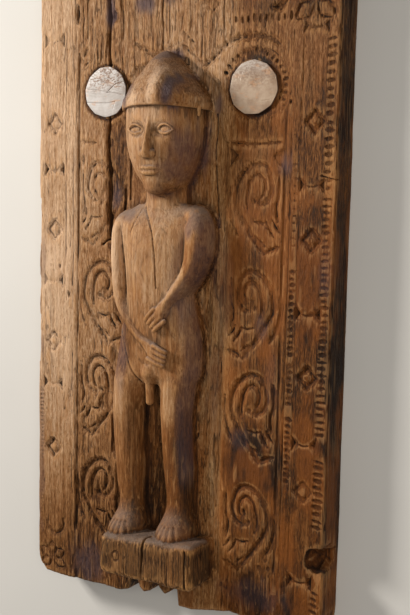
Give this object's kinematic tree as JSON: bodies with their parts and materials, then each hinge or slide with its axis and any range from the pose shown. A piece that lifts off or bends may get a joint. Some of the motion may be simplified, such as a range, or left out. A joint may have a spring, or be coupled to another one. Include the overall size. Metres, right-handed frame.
{
  "type": "carved tomb door",
  "caption": "Thick carved wooden tomb door with a standing guardian figure in high relief, scroll panels, notched borders and two inlaid shell discs; it lies on its back.",
  "frame": {"origin": "under the middle of the door's box, on the flat back face that it lies on", "axes": "+X to the viewer's right and +Y to the door's top end when the carving is looked at, +Z out of the carved face"},
  "size_m": [0.414, 0.752, 0.1055],
  "materials": {
    "aged_wood": "weathered brown hardwood with open vertical grain, cracks, grey dust and dark patina",
    "shell": "off-white sawn shell with fine growth lines, brown stains and cracks"
  },
  "bodies": {
    "root": {"carved_door": "aged_wood", "shell_disc_left": "shell", "shell_disc_right": "shell"}
  },
  "joints": []
}
